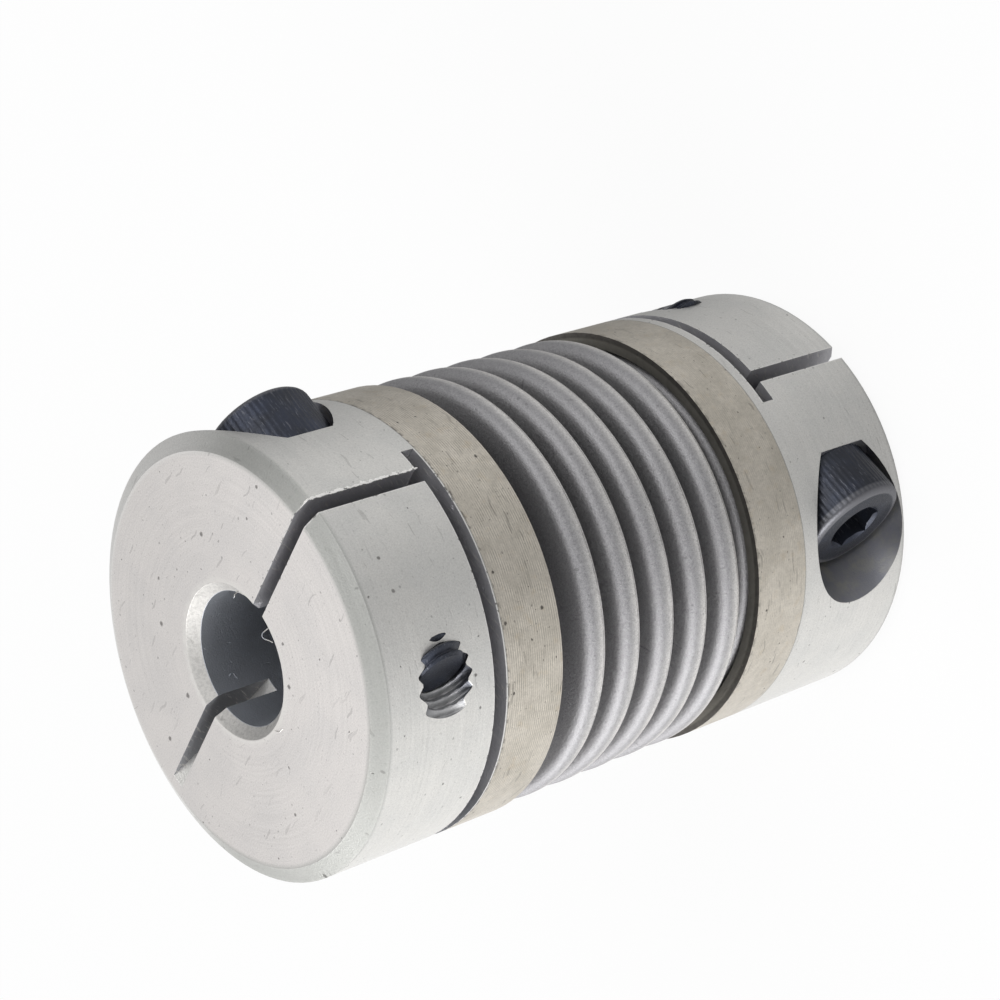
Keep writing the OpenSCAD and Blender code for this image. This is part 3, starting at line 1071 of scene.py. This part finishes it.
def burrTree():
    # a torn bead: a thin rod along z whose thickness jumps about
    tree, ins, outs = geometryTree("tornBurr", burrSizes)
    rod = tube(tree, 10, ins["Rows"], ins["Length"])
    angle, radius, height = polar(tree)
    where = combine(tree, times(tree, angle, 0.25), 0.0, times(tree, height, 4500.0))
    lumps = smooth(tree, noise(tree, where, 1.0, 4, 0.75), 0.40, 0.78)
    size = plus(tree, ins["Thin"], times(tree, lumps, ins["Thick"]))
    return finishTree(tree, placeAt(tree, rod, angle, capsShut(tree, size, radius), height), ins, outs)


def makeBurr(aluminium):
    c = coupling
    b = burrPlace
    piece = bake("slitBurr", burrTree(), burrSizes, aluminium)
    edge = math.sqrt(c["bodyRadius"] ** 2 - c["slitHalf"] ** 2)
    middle = c["length"] - b["fromFace"] - burrSizes["Length"] / mm / 2
    place = Matrix.Translation(Vector((edge - b["inward"], c["slitHalf"] + b["aside"], middle)) * mm)
    piece.data.transform(place @ Matrix.Diagonal((b["flatness"], 1.0, 1.0, 1.0)))
    piece.data.shade_smooth()
    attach(piece, "root")
    print("burr made")


swarf = {
    # name: points in mm on the front face, at the rim and on the bore's wall
    "rimCurl": [(3.30, -0.80, 33.72), (3.07, -0.79, 34.03), (2.88, -0.89, 34.08),
                (2.93, -1.10, 34.06), (3.09, -1.31, 34.02), (3.07, -1.46, 33.9)],
    "boreCurl": [(-2.97, 1.04, 32.5), (-2.91, 1.15, 32.36), (-2.92, 1.11, 32.24),
                 (-2.99, 0.96, 32.22), (-3.05, 0.85, 32.14)],
    "topHook": [(2.99, 1.62, 33.75), (3.0, 1.57, 34.0), (2.94, 1.48, 34.04), (2.78, 1.5, 34.0)],
    "faceHook": [(-0.45, -3.76, 34.0), (-0.33, -3.94, 34.03), (-0.11, -4.08, 34.03), (0.14, -4.09, 34.0)],
}
swarfRadius = 0.022


def makeSwarf(aluminium):
    # fine curls that the drill left, as thin tubes
    curve = bpy.data.curves.new("swarfCurls", "CURVE")
    curve.dimensions = "3D"
    curve.bevel_depth = swarfRadius * mm
    curve.bevel_resolution = 2
    curve.use_fill_caps = True
    for points in swarf.values():
        spline = curve.splines.new("NURBS")
        spline.points.add(len(points) - 1)
        for point, place in zip(spline.points, points):
            point.co = (*(Vector(place) * mm), 1)
        spline.use_endpoint_u = True
        spline.order_u = 3
        spline.resolution_u = 8
    mesh = meshOf(bpy.data.objects.new("swarfHolder", curve))
    mesh.materials.clear()
    mesh.materials.append(aluminium)
    mesh.shade_smooth()
    piece = newPiece("swarfCurls", mesh)
    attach(piece, "root")
    print("swarf made")


makeCamera()
makeLamps()
makeWorld()
makeFloor()
print("camera, lamps and floor set")

groups = {
    "specks": makeSpecks(),
    "scratches": makeScratches(),
    "turnedLines": makeTurnedLines(),
    "grain": makeGrain(),
    "hubPlaces": makeHubPlaces(),
}
hubAluminium = makeHubAluminium(groups)
frontCollarSteel = makeCollarSteel(groups, "frontCollarSteel", 1.0, 0.0)
rearCollarSteel = makeCollarSteel(groups, "rearCollarSteel", 0.35, 7.3)
bellowsSteel = makeBellowsSteel(groups)
blackOxide = makeBlackOxide(groups)
nodeFinishes = {
    "front_hub": hubAluminium,
    "rear_hub": hubAluminium,
    "front_collar": frontCollarSteel,
    "rear_collar": rearCollarSteel,
    "bellows": bellowsSteel,
    "front_clamp_screw": blackOxide,
    "rear_clamp_screw": blackOxide,
}
for name, material in nodeFinishes.items():
    for slot in nodes[name].material_slots:
        slot.material = material
print("finishes set")

makeBurr(hubAluminium)
makeSwarf(hubAluminium)
makeBellows(bellowsSteel)
makeScrews(blackOxide)
makeTappedHoles(makeTappedAluminium(groups))
